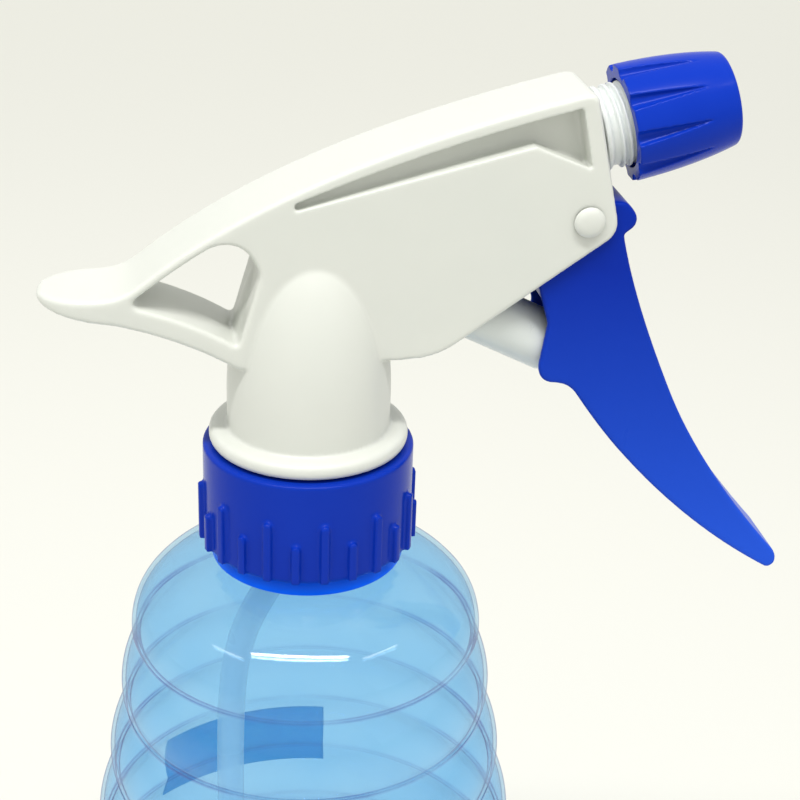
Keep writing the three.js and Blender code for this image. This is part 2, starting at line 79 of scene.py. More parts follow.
NECK_RADIUS = 12.6
NECK_BORE = 10.8
NECK_TOP_BELOW_SEAT = 5.6
NECK_FOOT_BELOW_SEAT = 19.9
NECK_THREAD_PITCH = 4.23
NECK_THREAD_BELOW_RIM = 9.6

COLLAR_RADIUS = 15.9
COLLAR_RIB_RADIUS = 16.75
COLLAR_HEIGHT = 19.2
COLLAR_LIP_HEIGHT = 3
COLLAR_HOLE = 6.9
COLLAR_BORE = 13.95
COLLAR_RIBS = 24
COLLAR_RIB_HEIGHTS = (9.7, 6.3)
COLLAR_RIB_HALF_WIDTH = 0.65
FIRST_RIB = math.radians(2.65)

FLANGE_RADIUS = 14.95
COLUMN_RADIUS = 12.2
COLUMN_BORE = 6.5
DOME_START = 8
DOME_HEIGHT = 26
HEAD_WIDTH = 14
INNER_WIDTH = 12.2
INNER_REAR = 13.6
INNER_ROOF = 41.0
INNER_ROOF_AT = 43
POCKET_DEPTH = 3.5
POCKET_FRONT = 38.7
POCKET_SLANT = math.radians(-2.6)
PUMP_FOOT = (29.84, 17.3)
PUMP_OUTSIDE = 6.4
PUMP_BORE = 4.75
PUMP_MOUTH = -9.3
PUMP_END = -25.2
PIN_RADIUS = 1.6
PIN_HEAD_RADIUS = 2.25
PIN_BORE = 1.9
TRIGGER_WIDTH = 11.6
TRIGGER_WALL = 1.1
PUSH_RIB_RADIUS = 1.6
PUSH_RIB_HEIGHT = 10
PUSH_RIB_LENGTH = 10
PISTON_RADIUS = 4.5
PISTON_END = -10.5
PISTON_SPRING_RADIUS = 2.3
PISTON_SPRING_WIRE = 0.35

NOZZLE_GAP = 4.2
NOZZLE_LENGTH = 15.6
NOZZLE_PITCH = 1.1
NOZZLE_FLUTES = 10
FLUTE_RADIUS = 1.15
FLUTE_LENGTH = 12.4
FLUTE_LEAN = math.radians(-5.5)
STEM_THREAD_RADIUS = 6.1
STEM_THREAD_START = 1.75
STEM_ROOT = 5.55
STEM_PLUG_RADIUS = 2.4
OUTLET_SEAT = -13
OUTLET_BALL_RADIUS = 1.6
OUTLET_BALL_BORE = 2.1
OUTLET_SPRING_RADIUS = 1.2
OUTLET_SPRING_WIRE = 0.2
OUTLET_SPRING_END = -1.8
FEED_BORE = 1.2
INLET_SEAT = 4.2
INLET_FLARE = 1.3
INLET_BALL_RADIUS = 1.9
INLET_SEAT_RADIUS = 1.75
TUBE_RADIUS = 2.2
TUBE_BORE = 1.5


# ---------- frames ----------
def axis_frame(origin, axis):
    """A millimetre frame with +Z along axis and +Y across the head."""
    along = Vector(axis).normalized()
    across = Vector((0, 1, 0))
    turn = Matrix((across.cross(along), across, along)).transposed().to_4x4()
    return Matrix.Translation(origin) @ turn @ Matrix.Scale(MM, 4)


joints = {joint["name"]: joint for joint in frame["joints"]}
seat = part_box("housing")[0].z / MM
pivot = Vector(joints["trigger_squeeze"]["pos_m"]) / MM - Vector((0, 0, seat))
nozzle_axis = Vector(joints["nozzle_turn"]["axis"])
BASE = Matrix.Scale(MM, 4)
HEAD = BASE @ Matrix.Translation((0, 0, seat))
NOZZLE = axis_frame(joints["nozzle_turn"]["pos_m"], nozzle_axis)
PUMP = axis_frame(
    HEAD @ Vector((PUMP_FOOT[0], 0, PUMP_FOOT[1])),
    -Vector(joints["piston_stroke"]["axis"]),
)


# ---------- meshes ----------
def mesh_object(name, corners, faces):
    mesh = bpy.data.meshes.new(name)
    mesh.from_pydata([tuple(c) for c in corners], [], faces)
    obj = bpy.data.objects.new(name, mesh)
    bpy.context.scene.collection.objects.link(obj)
    return obj


def moved(obj, matrix):
    obj.data.transform(matrix)
    return obj


def turned(name, profile, segments=96, sweep=(0, 2 * math.pi)):
    """A shape of revolution about Z. Its (radius, z) points close up, or start and end on the axis."""
    looped = (Vector(profile[0]) - Vector(profile[-1])).length < 1e-6
    points = profile[:-1] if looped else profile
    start, end = sweep
    whole = abs(end - start - 2 * math.pi) < 1e-6
    turns = segments if whole else segments + 1
    corners, rings = [], []
    for radius, z in points:
        if radius < 1e-6:
            rings.append([len(corners)] * turns)
            corners.append((0, 0, z))
            continue
        rings.append(list(range(len(corners), len(corners) + turns)))
        for k in range(turns):
            angle = start + (end - start) * k / segments
            corners.append((radius * math.cos(angle), radius * math.sin(angle), z))
    pairs = list(zip(rings, rings[1:]))
    if looped:
        pairs.append((rings[-1], rings[0]))
    faces = []
    for low, high in pairs:
        for k in range(segments):
            following = (k + 1) % turns
            face = [low[k], low[following], high[following], high[k]]
            face = [c for i, c in enumerate(face) if c != face[i - 1]]
            if len(face) > 2:
                faces.append(face)
    if not whole:
        faces.append([ring[0] for ring in rings])
        faces.append([ring[-1] for ring in reversed(rings)])
    return facing_out(mesh_object(name, corners, faces))


def facing_out(obj):
    """Turns the faces over if the mesh's volume comes out negative."""
    mesh = obj.data
    volume = 0
    for face in mesh.polygons:
        volume += face.center.dot(face.normal) * face.area
    if volume < 0:
        mesh.flip_normals()
    return obj


def bar(radius, low, high, segments=64):
    return turned("bar", [(0, low), (radius, low), (radius, high), (0, high)], segments)


def curve(start, *steps, pieces=14):
    """An outline's points. A step is a point, or a control point and a point for a curve."""
    points = [Vector(start)]
    for step in steps:
        first, last = points[-1], Vector(step[-2:])
        if len(step) == 2:
            points.append(last)
            continue
        control = Vector(step[:2])
        for k in range(1, pieces + 1):
            t = k / pieces
            points.append(first * (1 - t) ** 2 + control * 2 * t * (1 - t) + last * t * t)
    return points


def arc(middle, radius, start, end, pieces=16):
    """Points of a circle between two angles in degrees."""
    points = []
    for k in range(pieces + 1):
        angle = math.radians(start + (end - start) * k / pieces)
        points.append(Vector(middle) + radius * Vector((math.cos(angle), math.sin(angle))))
    return points


def rounded(points, radius, pieces=5):
    """The same profile with its inner corners rounded."""
    points = [Vector(p) for p in points]
    result = [points[0]]
    for before, corner, after in zip(points, points[1:], points[2:]):
        back, ahead = before - corner, after - corner
        reach = min(radius, back.length / 2, ahead.length / 2)
        first = corner + back.normalized() * reach
        last = corner + ahead.normalized() * reach
        for k in range(pieces + 1):
            t = k / pieces
            result.append(first * (1 - t) ** 2 + corner * 2 * t * (1 - t) + last * t * t)
    return result + [points[-1]]


def plate(outline, width, middle=0):
    """An outline in X and Z, given a thickness along Y."""
    count = len(outline)
    near, far = middle - width / 2, middle + width / 2
    corners = [(x, near, z) for x, z in outline] + [(x, far, z) for x, z in outline]
    faces = [list(range(count)), list(range(2 * count - 1, count - 1, -1))]
    for k in range(count):
        following = (k + 1) % count
        faces.append([following, k, k + count, following + count])
    return facing_out(mesh_object("plate", corners, faces))


def swept(name, path, outer, inner=0, sides=16):
    """A tube along a path, or a round wire when inner is 0."""
    along = [(b - a).normalized() for a, b in zip(path, path[1:])]
    along = [along[0]] + [(a + b).normalized() for a, b in zip(along, along[1:])] + [along[-1]]
    side = along[0].orthogonal().normalized()
    corners, skins = [], []
    for radius in [outer, inner] if inner else [outer]:
        skin, across = [], side
        for point, way in zip(path, along):
            across = (across - way * across.dot(way)).normalized()
            up = way.cross(across)
            skin.append(range(len(corners), len(corners) + sides))
            for k in range(sides):
                angle = 2 * math.pi * k / sides
                corners.append(point + radius * (across * math.cos(angle) + up * math.sin(angle)))
        skins.append(skin)
    faces = []
    for skin, flip in zip(skins, (False, True)):
        for first, last in zip(skin, skin[1:]):
            for k in range(sides):
                m = (k + 1) % sides
                face = [first[k], first[m], last[m], last[k]]
                faces.append(face[::-1] if flip else face)
    if inner:
        for end, flip in ((0, True), (-1, False)):
            for k in range(sides):
                m = (k + 1) % sides
                face = [skins[0][end][k], skins[0][end][m], skins[1][end][m], skins[1][end][k]]
                faces.append(face[::-1] if flip else face)
    else:
        faces.append(list(skins[0][0])[::-1])
        faces.append(list(skins[0][-1]))
    return facing_out(mesh_object(name, corners, faces))


def smooth_path(points, pieces=8):
    """A Catmull-Rom curve through points."""
    points = [Vector(p) for p in points]
    points = [2 * points[0] - points[1], *points, 2 * points[-1] - points[-2]]
    path = []
    for a, b, c, d in zip(points, points[1:], points[2:], points[3:]):
        for k in range(pieces):
            t = k / pieces
            path.append(0.5 * (2 * b + (c - a) * t + (2 * a - 5 * b + 4 * c - d) * t * t
                               + (3 * b - a - 3 * c + d) * t ** 3))
    return path + [points[-2]]


def screw_thread(root, crest, root_width, crest_width, pitch, turns, start, steps=48):
    """A helical rib about Z that fades out at both ends. Right-handed."""
    count = round(turns * steps)
    corners, faces = [], []
    for k in range(count + 1):
        share = k / count
        angle = 2 * math.pi * turns * share
        rise = min(1, (min(share, 1 - share) * turns + 0.02) / 0.25)
        top = root + (crest - root) * rise
        lift = start + pitch * turns * share
        for radius, z in ((root, -root_width / 2), (top, -crest_width / 2),
                          (top, crest_width / 2), (root, root_width / 2)):
            corners.append((radius * math.cos(angle), radius * math.sin(angle), z + lift))
    for k in range(count):
        for side in range(4):
            m = (side + 1) % 4
            faces.append([4 * k + side, 4 * k + m, 4 * k + 4 + m, 4 * k + 4 + side])
    faces.append([3, 2, 1, 0])
    faces.append([4 * count + side for side in range(4)])
    return facing_out(mesh_object("thread", corners, faces))


def applied(obj):
    """Makes the object's modifiers part of its mesh."""
    graph = bpy.context.evaluated_depsgraph_get()
    mesh = bpy.data.meshes.new_from_object(obj.evaluated_get(graph))
    obj.modifiers.clear()
    obj.data = mesh
    return obj


def combined(operation, body, others):
    for other in others:
        modifier = body.modifiers.new(operation, "BOOLEAN")
        modifier.operation = operation
        modifier.solver = "MANIFOLD"
        modifier.object = other
    applied(body)
    for other in others:
        bpy.data.objects.remove(other)
    return body


def cut(body, *others):
    return combined("DIFFERENCE", body, others)


def joined(body, *others):
    return combined("UNION", body, others)


def common(body, *others):
    return combined("INTERSECT", body, others)


def moulded(obj, cell, smoothing):
    """One even skin over the solid, with its edges and corners softened as a mould leaves them."""
    skin = obj.modifiers.new("skin", "REMESH")
    skin.mode = "VOXEL"
    skin.voxel_size = cell
    soften = obj.modifiers.new("soften", "SMOOTH")
    soften.factor = 0.5
    soften.iterations = smoothing
    return applied(obj)


# ---------- the bottle's outline ----------
def crest_radius(tier):
    """How far out a tier reaches. Tiers and grooves are counted down from the top one."""
    along = min(1, (tier + SWELL_START) / SWELL_TIERS)
    return BODY_RADIUS - SWELL * (1 + math.cos(math.pi * along)) / 2


def groove_height(tier):
    return seat - FIRST_GROOVE_BELOW_SEAT - tier * TIER_PITCH


def tier_radius(tier, share):
    """The wall's radius at a share of the way down from a groove to the next."""
    groove = crest_radius(tier) - GROOVE_DEPTH
    crest = crest_radius(tier + 1)
    if share <= BULGE:
        return groove + (crest - groove) * math.sin(share / BULGE * math.pi / 2)
    turn = math.cos((share - BULGE) / (1 - BULGE) * math.pi / 2)
    return crest - GROOVE_DEPTH * (1 - max(0, turn) ** 0.6)


def wall_radius(height):
    """The bottle's radius at a height between its first and last grooves."""
    down = (groove_height(0) - height) / TIER_PITCH
    tier = min(GROOVES - 1, int(down))
    return tier_radius(tier, down - tier)


def tier_profile(inset, steps=16):
    """The wall's outline from the lowest tier to the top groove, moved in by inset."""
    points = []
    for tier in reversed(range(GROOVES)):
        last = BULGE if tier == GROOVES - 1 else 1 - 0.25 / steps
        for k in range(steps, -1, -1):
            share = last * k / steps
            points.append((tier_radius(tier, share) - inset,
                           groove_height(tier) - share * TIER_PITCH))
    return points


# ---------- materials ----------
class Shader:
    """A material in the making, from nodes whose inputs are plain values or other nodes' outputs."""

    def __init__(self, name):
        self.material = bpy.data.materials.new(name)
        self.material.use_nodes = True
        self.tree = self.material.node_tree
        self.tree.nodes.clear()

    def add(self, kind, result, inputs, **settings):
        """Adds a node, and returns its output called result. A colour is red, green and blue."""
        node = self.tree.nodes.new("ShaderNode" + kind)
        for setting, value in settings.items():
            setattr(node, setting, value)
        for key, value in inputs.items():
            socket = node.inputs[key]
            if isinstance(value, bpy.types.NodeSocket):
                self.tree.links.new(value, socket)
            elif socket.type == "RGBA":
                socket.default_value = (*value, 1)
            else:
                socket.default_value = value
        return node.outputs[result]

    def finished(self, surface):
        output = self.tree.nodes.new("ShaderNodeOutputMaterial")
        self.tree.links.new(surface, output.inputs["Surface"])
        return self.material

    def coordinate(self, axis):
        """How far along X, Y or Z of its object a point is, in millimetres."""
        place = self.add("TexCoord", "Object", {})
        return self.computed("MULTIPLY", self.add("SeparateXYZ", axis, {"Vector": place}), 1 / MM)

    def noise(self, scale, detail, stretch=(1, 1, 1)):
        """Noise fixed to the object, with scale in features a metre."""
        place = self.add("TexCoord", "Object", {})
        stretched = self.add("Mapping", "Vector", {"Vector": place, "Scale": stretch})
        return self.add("TexNoise", "Fac", {"Vector": stretched, "Scale": scale, "Detail": detail})

    def between(self, value, low, high, start=0.3, end=0.7):
        """Goes from low to high as value goes from start to end."""
        return self.add("MapRange", "Result", {
            "Value": value, "From Min": start, "From Max": end, "To Min": low, "To Max": high,
        })

    def computed(self, operation, *values):
        return self.add("Math", "Value", dict(enumerate(values)), operation=operation)

    def blended(self, factor, first, second):
        return self.add("Mix", "Result", {"Factor": factor, "A": first, "B": second}, data_type="RGBA")

    def bump(self, height, strength, depth):
        """A rough surface's normals, from a height between 0 and 1 and a depth in millimetres."""
        return self.add("Bump", "Normal", {
            "Height": height, "Strength": strength, "Distance": depth * MM,
        })

    def layered(self, share, first, second):
        return self.add("MixShader", "Shader", {"Fac": share, 1: first, 2: second})


def moulded_plastic(name, colour, shade, roughness, shine=0.5, glow=0.0, glow_depth=1.5,
                    grain=0.012, painted_light_fade=None):
    """Injection-moulded plastic: cloudy colour, uneven gloss, fine grain and faint rubbed streaks.

    A painted_light_fade is two heights in millimetres, and the colour that is reached at the lower one.
    It is painted light: the colour turns lighter towards the lower height.
    """
    shader = Shader(name)
    base = shader.blended(shader.noise(60, 4), colour, shade)
    # Painted light: below the higher height the colour blends into the lighter painted colour.
    if painted_light_fade:
        low, high, painted_light_colour = painted_light_fade
        share = shader.between(shader.coordinate("Z"), 0, 1, low, high)
        base = shader.blended(share, painted_light_colour, base)
    streaks = shader.noise(260, 6, (1, 1, 0.3))
    surface = shader.add("BsdfPrincipled", "BSDF", {
        "Base Color": base,
        "Roughness": shader.between(streaks, roughness * 0.9, roughness * 1.12),
        "Normal": shader.bump(shader.noise(2600, 2), 0.25, grain),
        "IOR": 1.5,
        "Specular IOR Level": shine,
        "Subsurface Weight": glow,
        "Subsurface Radius": (1.0, 1.0, 1.0),
        "Subsurface Scale": glow_depth * MM,
    })
    return shader.finished(surface)


def painted_groove_shade(shader, slant):
    """Painted shade: 1 along the bottle's grooves, where dark lines are painted for the light that the
    grooves bend away, and 0 a short way above and below.
    """
    height = shader.coordinate("Z")
    top, bottom = groove_height(0), groove_height(GROOVES - 1)
    past_bottom = shader.computed("SUBTRACT", height, bottom)
    away = shader.computed("PINGPONG", past_bottom, TIER_PITCH / 2)
    line = shader.between(away, 1, 0, 0.08, 0.4)
    for share in (
        shader.computed("LESS_THAN", height, top + 2),
        shader.computed("GREATER_THAN", height, bottom - 2),
        shader.between(shader.noise(90, 3), 0.25, 1),
        shader.between(slant, 0.12, 1, 0.12, 0.5),
    ):
        line = shader.computed("MULTIPLY", line, share)
    return line


def clear_plastic(name, straight, aslant, gloss=0.05, haze=0.02, paints_groove_shade=False):
    """Thin clear plastic with a glossy skin. It tints what is behind it, and more so aslant."""
    shader = Shader(name)
    slant = shader.add("LayerWeight", "Facing", {"Blend": 0.5})
    cloud = shader.noise(45, 3)
    paler = [c ** 0.8 for c in straight]
    deeper = [c ** 1.3 for c in straight]
    tint = shader.between(slant, 0, 1, 0.86, 1.0)
    # Painted shade: along the grooves the tint goes to the dark aslant colour.
    if paints_groove_shade:
        tint = shader.computed("MAXIMUM", tint, painted_groove_shade(shader, slant))
    thin = shader.blended(shader.between(cloud, 0, 1), straight, paler)
    through = shader.add("BsdfTransparent", "BSDF", {"Color": shader.blended(tint, thin, aslant)})
    milk = shader.blended(cloud, straight, deeper)
    lit_side = shader.add("BsdfDiffuse", "BSDF", {"Color": milk})
    far_side = shader.add("BsdfTranslucent", "BSDF", {"Color": milk})
    wall = shader.layered(haze, through, shader.layered(0.5, lit_side, far_side))
    skin = shader.add("BsdfGlossy", "BSDF", {
        "Roughness": shader.between(cloud, gloss * 0.7, gloss * 1.5),
        "Normal": shader.bump(shader.noise(140, 2), 0.2, 0.06),
    })
    shine = shader.between(shader.computed("POWER", slant, 3), 0.04, 0.42, 0, 1)
    return shader.finished(shader.layered(shine, wall, skin))


def steel_wire(name):
    shader = Shader(name)
    worn = shader.noise(900, 5)
    surface = shader.add("BsdfPrincipled", "BSDF", {
        "Base Color": shader.blended(worn, (0.62, 0.63, 0.65), (0.8, 0.8, 0.8)),
        "Roughness": shader.between(worn, 0.16, 0.34),
        "Metallic": 1.0,
    })
    return shader.finished(surface)


def sticker_paper(name, colour, shade):
    """Coloured paper that lets through some of the light behind it."""
    shader = Shader(name)
    fibres = shader.noise(900, 6)
    face = shader.add("BsdfPrincipled", "BSDF", {
        "Base Color": shader.blended(shader.noise(70, 4), colour, shade),
        "Roughness": shader.between(fibres, 0.45, 0.65),
        "Normal": shader.bump(fibres, 0.3, 0.02),
    })
    through = shader.add("BsdfTranslucent", "BSDF", {"Color": shader.blended(fibres, colour, shade)})
    return shader.finished(shader.layered(0.6, face, through))


WHITE = moulded_plastic("white_moulding", (0.645, 0.657, 0.614), (0.598, 0.618, 0.58), 0.34, glow=0.25)
BLUE = moulded_plastic("blue_moulding", (0.002, 0.026, 0.37), (0.004, 0.036, 0.43), 0.22, 0.09)
# Painted light: the collar's lower lip is painted a lighter, brighter blue, where more light reaches
# it.
lip = seat - COLLAR_HEIGHT + 0.5
COLLAR_BLUE = moulded_plastic("collar_blue", (0.002, 0.024, 0.34), (0.004, 0.034, 0.4), 0.22, 0.09,
                              painted_light_fade=(lip, lip + COLLAR_LIP_HEIGHT, (0.001, 0.125, 1.0)))
# Painted light: the trigger is painted a lighter blue towards its low tip, where more light falls on
# it.
TRIGGER_BLUE = moulded_plastic("trigger_blue", (0.002, 0.02, 0.31), (0.003, 0.026, 0.35), 0.3, 0.07,
                               painted_light_fade=(seat - 26, seat + 28, (0.016, 0.088, 0.66)))
NATURAL = moulded_plastic("natural_moulding", (0.69, 0.72, 0.7), (0.64, 0.68, 0.665), 0.3,
                          glow=0.6, glow_depth=3)
PET = clear_plastic("clear_blue_wall", (0.685, 0.868, 0.988), (0.09, 0.12, 0.5), paints_groove_shade=True)
POLYTHENE = clear_plastic("milky_tube", (0.97, 0.985, 1.0), (0.8, 0.87, 0.95), gloss=0.25, haze=0.36)
STEEL = steel_wire("spring_steel")
RUBBER = moulded_plastic("black_rubber", (0.03, 0.03, 0.032), (0.045, 0.045, 0.05), 0.65)
FOAM = moulded_plastic("white_foam", (0.8, 0.79, 0.74), (0.7, 0.69, 0.65), 0.85, 0.3,
                       glow=0.3, glow_depth=2, grain=0.08)
PAPER = sticker_paper("blue_sticker_paper", (0.4, 0.92, 1.0), (0.24, 0.68, 0.9))


# ---------- placing ----------
bodies = frame["record"]["behaviour"]["bodies"]
body_of = {node: body for body, nodes in bodies.items() for node in nodes}


def dressed(obj, name, node, material, where):
    """Names and places a piece, gives it its material, and puts it in its CAD node's stead."""
    obj.name = name
    moved(obj, where)
    obj.data.materials.clear()
    obj.data.materials.append(material)
    for face in obj.data.polygons:
        face.use_smooth = True
    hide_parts(node)
    return obj


def placed(obj, name, node, material, where):
    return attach(dressed(obj, name, node, material, where), body_of[node])


# ---------- bottle ----------
def bottle():
    rim = seat - NECK_TOP_BELOW_SEAT
    foot = seat - NECK_FOOT_BELOW_SEAT
    crest = crest_radius(0)
    top_groove = groove_height(0)
    heel = curve((32.5, 0), (37.4, 0.2, BODY_RADIUS, 9), pieces=12)
    shoulder = curve(
        (crest, top_groove + 1.2), (crest, top_groove + 5.4, crest - 2.6, foot - 5.6),
        (crest - 5, foot - 2.6, 15.2, foot - 0.3), (12.9, foot + 0.3, NECK_RADIUS, foot + 2),
    )
    outside = [(0, 0.9), (23.5, 0.9), (25.5, 0.5), (27, 0), *heel, *tier_profile(0), *shoulder,
               (NECK_RADIUS, rim - 0.4), (NECK_RADIUS - 0.4, rim)]
    ceiling = curve(
        (NECK_BORE, foot + 0.6), (NECK_BORE + 0.3, foot - 0.6, 14.6, foot - 1.2),
        (crest - 5.4, foot - 3.4, crest - 3.2, foot - 6.1),
        (crest - WALL, top_groove + 5.0, crest - WALL, top_groove + 1.2),
    )
    base = curve((BODY_RADIUS - WALL, 9.2), (37.0, 0.9, 32.3, 0.8), pieces=12)
    inside = [(NECK_BORE + 0.3, rim), (NECK_BORE, rim - 0.3), *ceiling,
              *reversed(tier_profile(WALL)), *base, (27, 0.8), (24.8, 1.5), (23, 1.8), (0, 1.8)]
    shell = turned("bottle", outside + inside, 160)
    thread = screw_thread(NECK_RADIUS - 0.3, 13.6, 2.0, 0.9, NECK_THREAD_PITCH, 1.5,
                          rim - NECK_THREAD_BELOW_RIM)
    placed(joined(shell, thread), "clear_bottle", "bottle", PET, BASE)


def sticker():
    low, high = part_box("rear_label")
    bottom, top = low.z / MM, high.z / MM
    steps = 28
    heights = [bottom + (top - bottom) * k / steps for k in range(steps + 1)]
    inner = [(wall_radius(z) + STICKER_GAP, z) for z in heights]
    outer = [(radius + STICKER_THICKNESS, z) for radius, z in reversed(inner)]
    patch = turned("sticker", inner + outer + inner[:1], 48, STICKER_ANGLES)
    placed(patch, "blue_sticker", "rear_label", PAPER, BASE)


# ---------- collar and what it clamps ----------
def collar_rib(height, lip):
    depth = COLLAR_RIB_RADIUS - COLLAR_RADIUS + 0.7
    half = COLLAR_RIB_HALF_WIDTH
    outline = [(-half, lip), (half, lip), *arc((0, lip + height - half), half, 0, 180, 8)]
    return plate(outline, depth, depth / 2 - COLLAR_RIB_RADIUS)


def collar():
    bottom, top = -COLLAR_HEIGHT, -GAP
    lip = bottom + COLLAR_LIP_HEIGHT
    shell = turned("collar", rounded([
        (COLLAR_HOLE, top), (COLLAR_RADIUS, top), (COLLAR_RADIUS, lip), (COLLAR_RADIUS - 1, lip - 0.5),
        (COLLAR_RADIUS - 1.1, bottom), (COLLAR_BORE, bottom), (COLLAR_BORE, top - 1.6),
        (COLLAR_HOLE, top - 1.6), (COLLAR_HOLE, top),
    ], 0.4), 128)
    ribs = []
    for k in range(COLLAR_RIBS):
        around = Matrix.Rotation(FIRST_RIB + math.pi + k * 2 * math.pi / COLLAR_RIBS, 4, "Z")
        ribs.append(moved(collar_rib(COLLAR_RIB_HEIGHTS[k % 2], lip), around))
    thread = screw_thread(COLLAR_BORE + 0.3, 13.0, 2.0, 0.9, NECK_THREAD_PITCH, 1.25,
                          -NECK_TOP_BELOW_SEAT - NECK_THREAD_BELOW_RIM - NECK_THREAD_PITCH / 2)
    solid = moulded(joined(shell, thread, *ribs), cell=0.25, smoothing=2)
    placed(solid, "screw_collar", "collar", COLLAR_BLUE, HEAD)


def gasket():
    top, bottom = -3.8 - GAP, -NECK_TOP_BELOW_SEAT + GAP
    profile = rounded([(8.6, (top + bottom) / 2), (8.6, bottom), (12.7, bottom), (12.7, top),
                       (8.6, top), (8.6, (top + bottom) / 2)], 0.3)
    placed(turned("gasket", profile), "foam_gasket", "neck_gasket", FOAM, HEAD)


def tube_holder():
    flare = INLET_SEAT + INLET_FLARE
    profile = rounded([
        (1.0, 0), (1.0, -6.2), (TUBE_BORE, -6.2), (TUBE_BORE, -6.6), (TUBE_RADIUS + GAP, -6.6),
        (TUBE_RADIUS + GAP, -14.5), (3.5, -14.5), (3.9, -13.9), (3.9, -3.8), (12.7, -3.8),
        (12.7, -2.2), (6.2, -2.2), (6.2, 8), (5.5, 8), (5.5, 9.1), (6.2, 9.1), (6.2, 12),
        (2.5, 12), (2.5, flare), (1.0, INLET_SEAT), (1.0, 0),
    ], 0.25, 3)
    placed(turned("holder", profile), "dip_tube_holder", "tube_holder", NATURAL, HEAD)


def sealing_ring(name, node, radius, section, height, where):
    placed(turned(name, arc((radius, height), section, 0, 360, 20)), name, node, RUBBER, where)


def ball(name, node, radius, seat_height, seat_radius, where):
    """A ball that rests just above the rim of the bore that it shuts."""
    middle = seat_height + math.sqrt(radius ** 2 - seat_radius ** 2) + GAP / 2
    half = arc((0, middle), radius, -90, 90, 32)
    placed(turned(name, half, 64), name, node, STEEL, where)


def dip_tube():
    route = smooth_path([
        (0, 0, -6.9), (0, 0, -14), (-2, 0, -20), (-6.6, 0, -27), (-10.3, 0.5, -36), (-12, 1, -49),
        (-12.3, 1, -75), (-12, 0.5, -105), (-10, 0, -130), (-7.5, 0, -149),
    ])
    tube = swept("tube", route, TUBE_RADIUS, TUBE_BORE, 32)
    placed(tube, "suction_tube", "dip_tube", POLYTHENE, HEAD)


# ---------- head ----------
def side_outline():
    """The head from its side, without its column."""
    return curve(
        (-24.4, 27.6), (-4, 43.9, 36.4, 53.7), (38.6, 54.3, 39.0, 53.2), (43.1, 35.9),
        (43.7, 33.5, 41.2, 32.0), (20.5, 17.2), (17.5, 15.0, 13.0, 15.0), (0, 15.0), (-10.6, 14.1),
        (-18.5, 19.2, -28, 21.6), (-33.5, 22.4, -37.6, 23.5), (-40, 24.4, -38.2, 25.3),
        (-29.6, 25.5), (-27, 25.6, -24.4, 27.6),
    )[:-1]


def rear_loop():
    """The opening behind the column."""
    return curve((-25.5, 25.2), (-19.5, 29.9, -14.6, 32.8), (-9.6, 34.6, -7.8, 28.6), (-10.9, 17.9),
                 (-17.5, 22.2, -25.3, 24.3))


def seen_from_above():
    """The head from above, with straight sides and a rounded thumb rest."""
    half = HEAD_WIDTH / 2
    tail = [(-31 + 8 * p.x, half * p.y) for p in arc((0, 0), 1, 90, 270, 24)]
    return [(50, -half), (50, half), *tail]


def pocket_outline():
    return curve((-3.0, 39.0), (17, 47.2, 36.7, 52.0), (POCKET_FRONT, 43.3), (30.4, 46.7), (-3.0, 37.9))


def side_pockets():
    """What is cut from the two sides, least deep at the rear."""
    middle = (HEAD_WIDTH - POCKET_DEPTH + 1) / 2
    pockets = []
    for way in (-1, 1):
        front = Matrix.Translation((POCKET_FRONT, way * middle, 0))
        slant = front @ Matrix.Rotation(way * POCKET_SLANT, 4, "Z") @ front.inverted()
        pockets.append(moved(plate(pocket_outline(), POCKET_DEPTH + 1, way * middle), slant))
    return pockets


def inner_space():
    """The room between the side plates, under a roof that slopes with the nozzle's axis."""
    slope = nozzle_axis.z / nozzle_axis.x
    front = 60
    rear_roof, front_roof = [INNER_ROOF + slope * (x - INNER_ROOF_AT) for x in (INNER_REAR, front)]
    outline = [(INNER_REAR, 0), (front, 0), (front, front_roof), (INNER_REAR, rear_roof)]
    return plate(outline, INNER_WIDTH)


def column():
    """The flange that the collar clamps, and the domed column on it."""
    foot = rounded([(0, 0), (FLANGE_RADIUS, 0), (FLANGE_RADIUS, 2.5), (COLUMN_RADIUS, 2.6)], 1.2)
    dome = [(p.x * COLUMN_RADIUS, DOME_START + p.y * DOME_HEIGHT) for p in arc((0, 0), 1, 0, 90, 40)]
    return turned("column", foot + dome, 128)


def in_pump(obj):
    return moved(obj, HEAD.inverted() @ PUMP)


def in_nozzle(obj):
    return moved(obj, HEAD.inverted() @ NOZZLE)


def across_pin(obj):
    return moved(obj, Matrix.Translation(pivot) @ Matrix.Rotation(math.pi / 2, 4, "X"))


def head_bores():
    """The column's hollows, the pump's bore, the way up to the outlet valve, and the pin's hole."""
    feed_start = -pivot.x / nozzle_axis.x - 2
    return [
        in_pump(bar(PUMP_BORE, PUMP_END, 0)),
        bar(COLUMN_BORE, -1, 13),
        bar(FEED_BORE, 12, 37, 32),
        in_nozzle(bar(FEED_BORE, feed_start, OUTLET_SEAT + 1, 32)),
        in_nozzle(bar(OUTLET_BALL_BORE, OUTLET_SEAT, -5, 32)),
        in_nozzle(bar(STEM_PLUG_RADIUS + GAP, -6, 1, 32)),
        across_pin(bar(PIN_BORE, -HEAD_WIDTH, HEAD_WIDTH, 48)),
        turned("ring_hollow", [(7.9, -1), (10.9, -1), (10.9, 12.5), (7.9, 12.5), (7.9, -1)]),
        plate([(0, 27.2), (9, 27.2), (9, 29.2), (0, 29.2)], 2),
    ]


def spray_head():
    above = moved(plate(seen_from_above(), 70, 35), Matrix.Rotation(math.pi / 2, 4, "X"))
    body = common(plate(side_outline(), HEAD_WIDTH), above)
    body = moulded(cut(body, plate(rear_loop(), HEAD_WIDTH + 2)), cell=0.3, smoothing=16)
    cut(body, *side_pockets(), inner_space())
    joined(body, column(), in_pump(bar(PUMP_OUTSIDE, -20, PUMP_MOUTH)))
    cut(body, *head_bores())
    placed(moulded(body, cell=0.29, smoothing=3), "spray_head", "housing", WHITE, HEAD)


